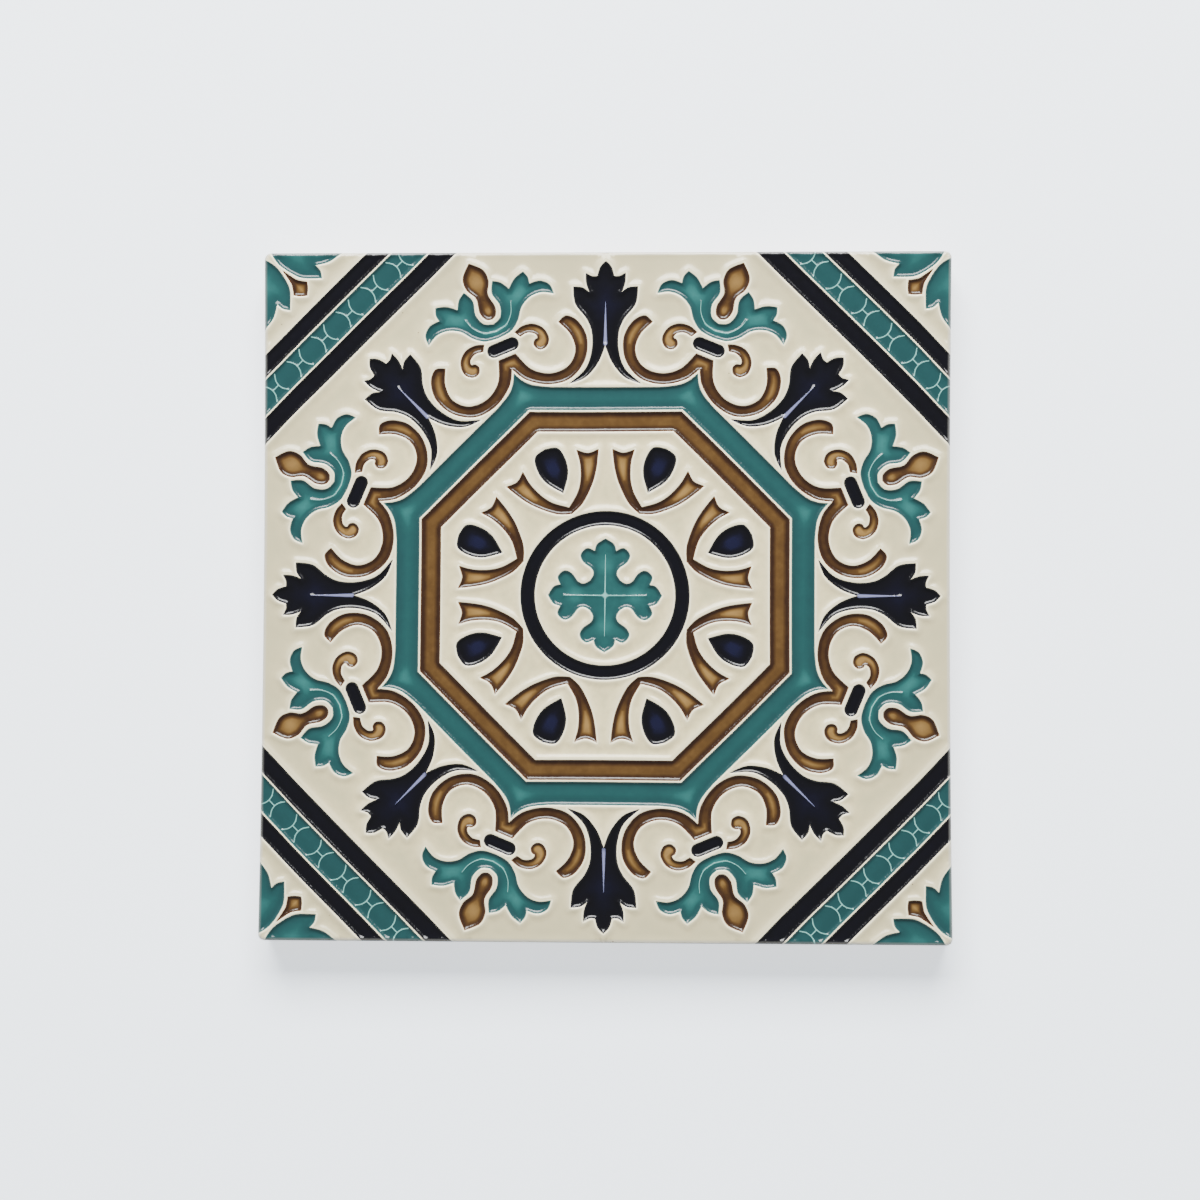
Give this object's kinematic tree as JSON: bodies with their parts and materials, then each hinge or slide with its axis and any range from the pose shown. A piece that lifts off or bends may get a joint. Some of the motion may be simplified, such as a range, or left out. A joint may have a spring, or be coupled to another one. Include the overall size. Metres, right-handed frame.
{
  "type": "azulejo tile",
  "caption": "Square glazed wall tile with a pressed relief of palmettes, scrolls, an octagon and corner bands, in ivory, teal, navy and honey brown.",
  "frame": {"origin": "middle of the back, on the plane that the tile lies on", "axes": "+Z out of the glazed face, +Y towards the top of the tile as it hangs, +X to the right"},
  "size_m": [0.15, 0.15, 0.012],
  "materials": {
    "ivory_glaze": "gloss",
    "teal_glaze": "gloss",
    "honey_glaze": "gloss",
    "navy_glaze": "gloss",
    "clay": "matte"
  },
  "bodies": {
    "root": {"tile": "ivory_glaze"}
  },
  "joints": []
}
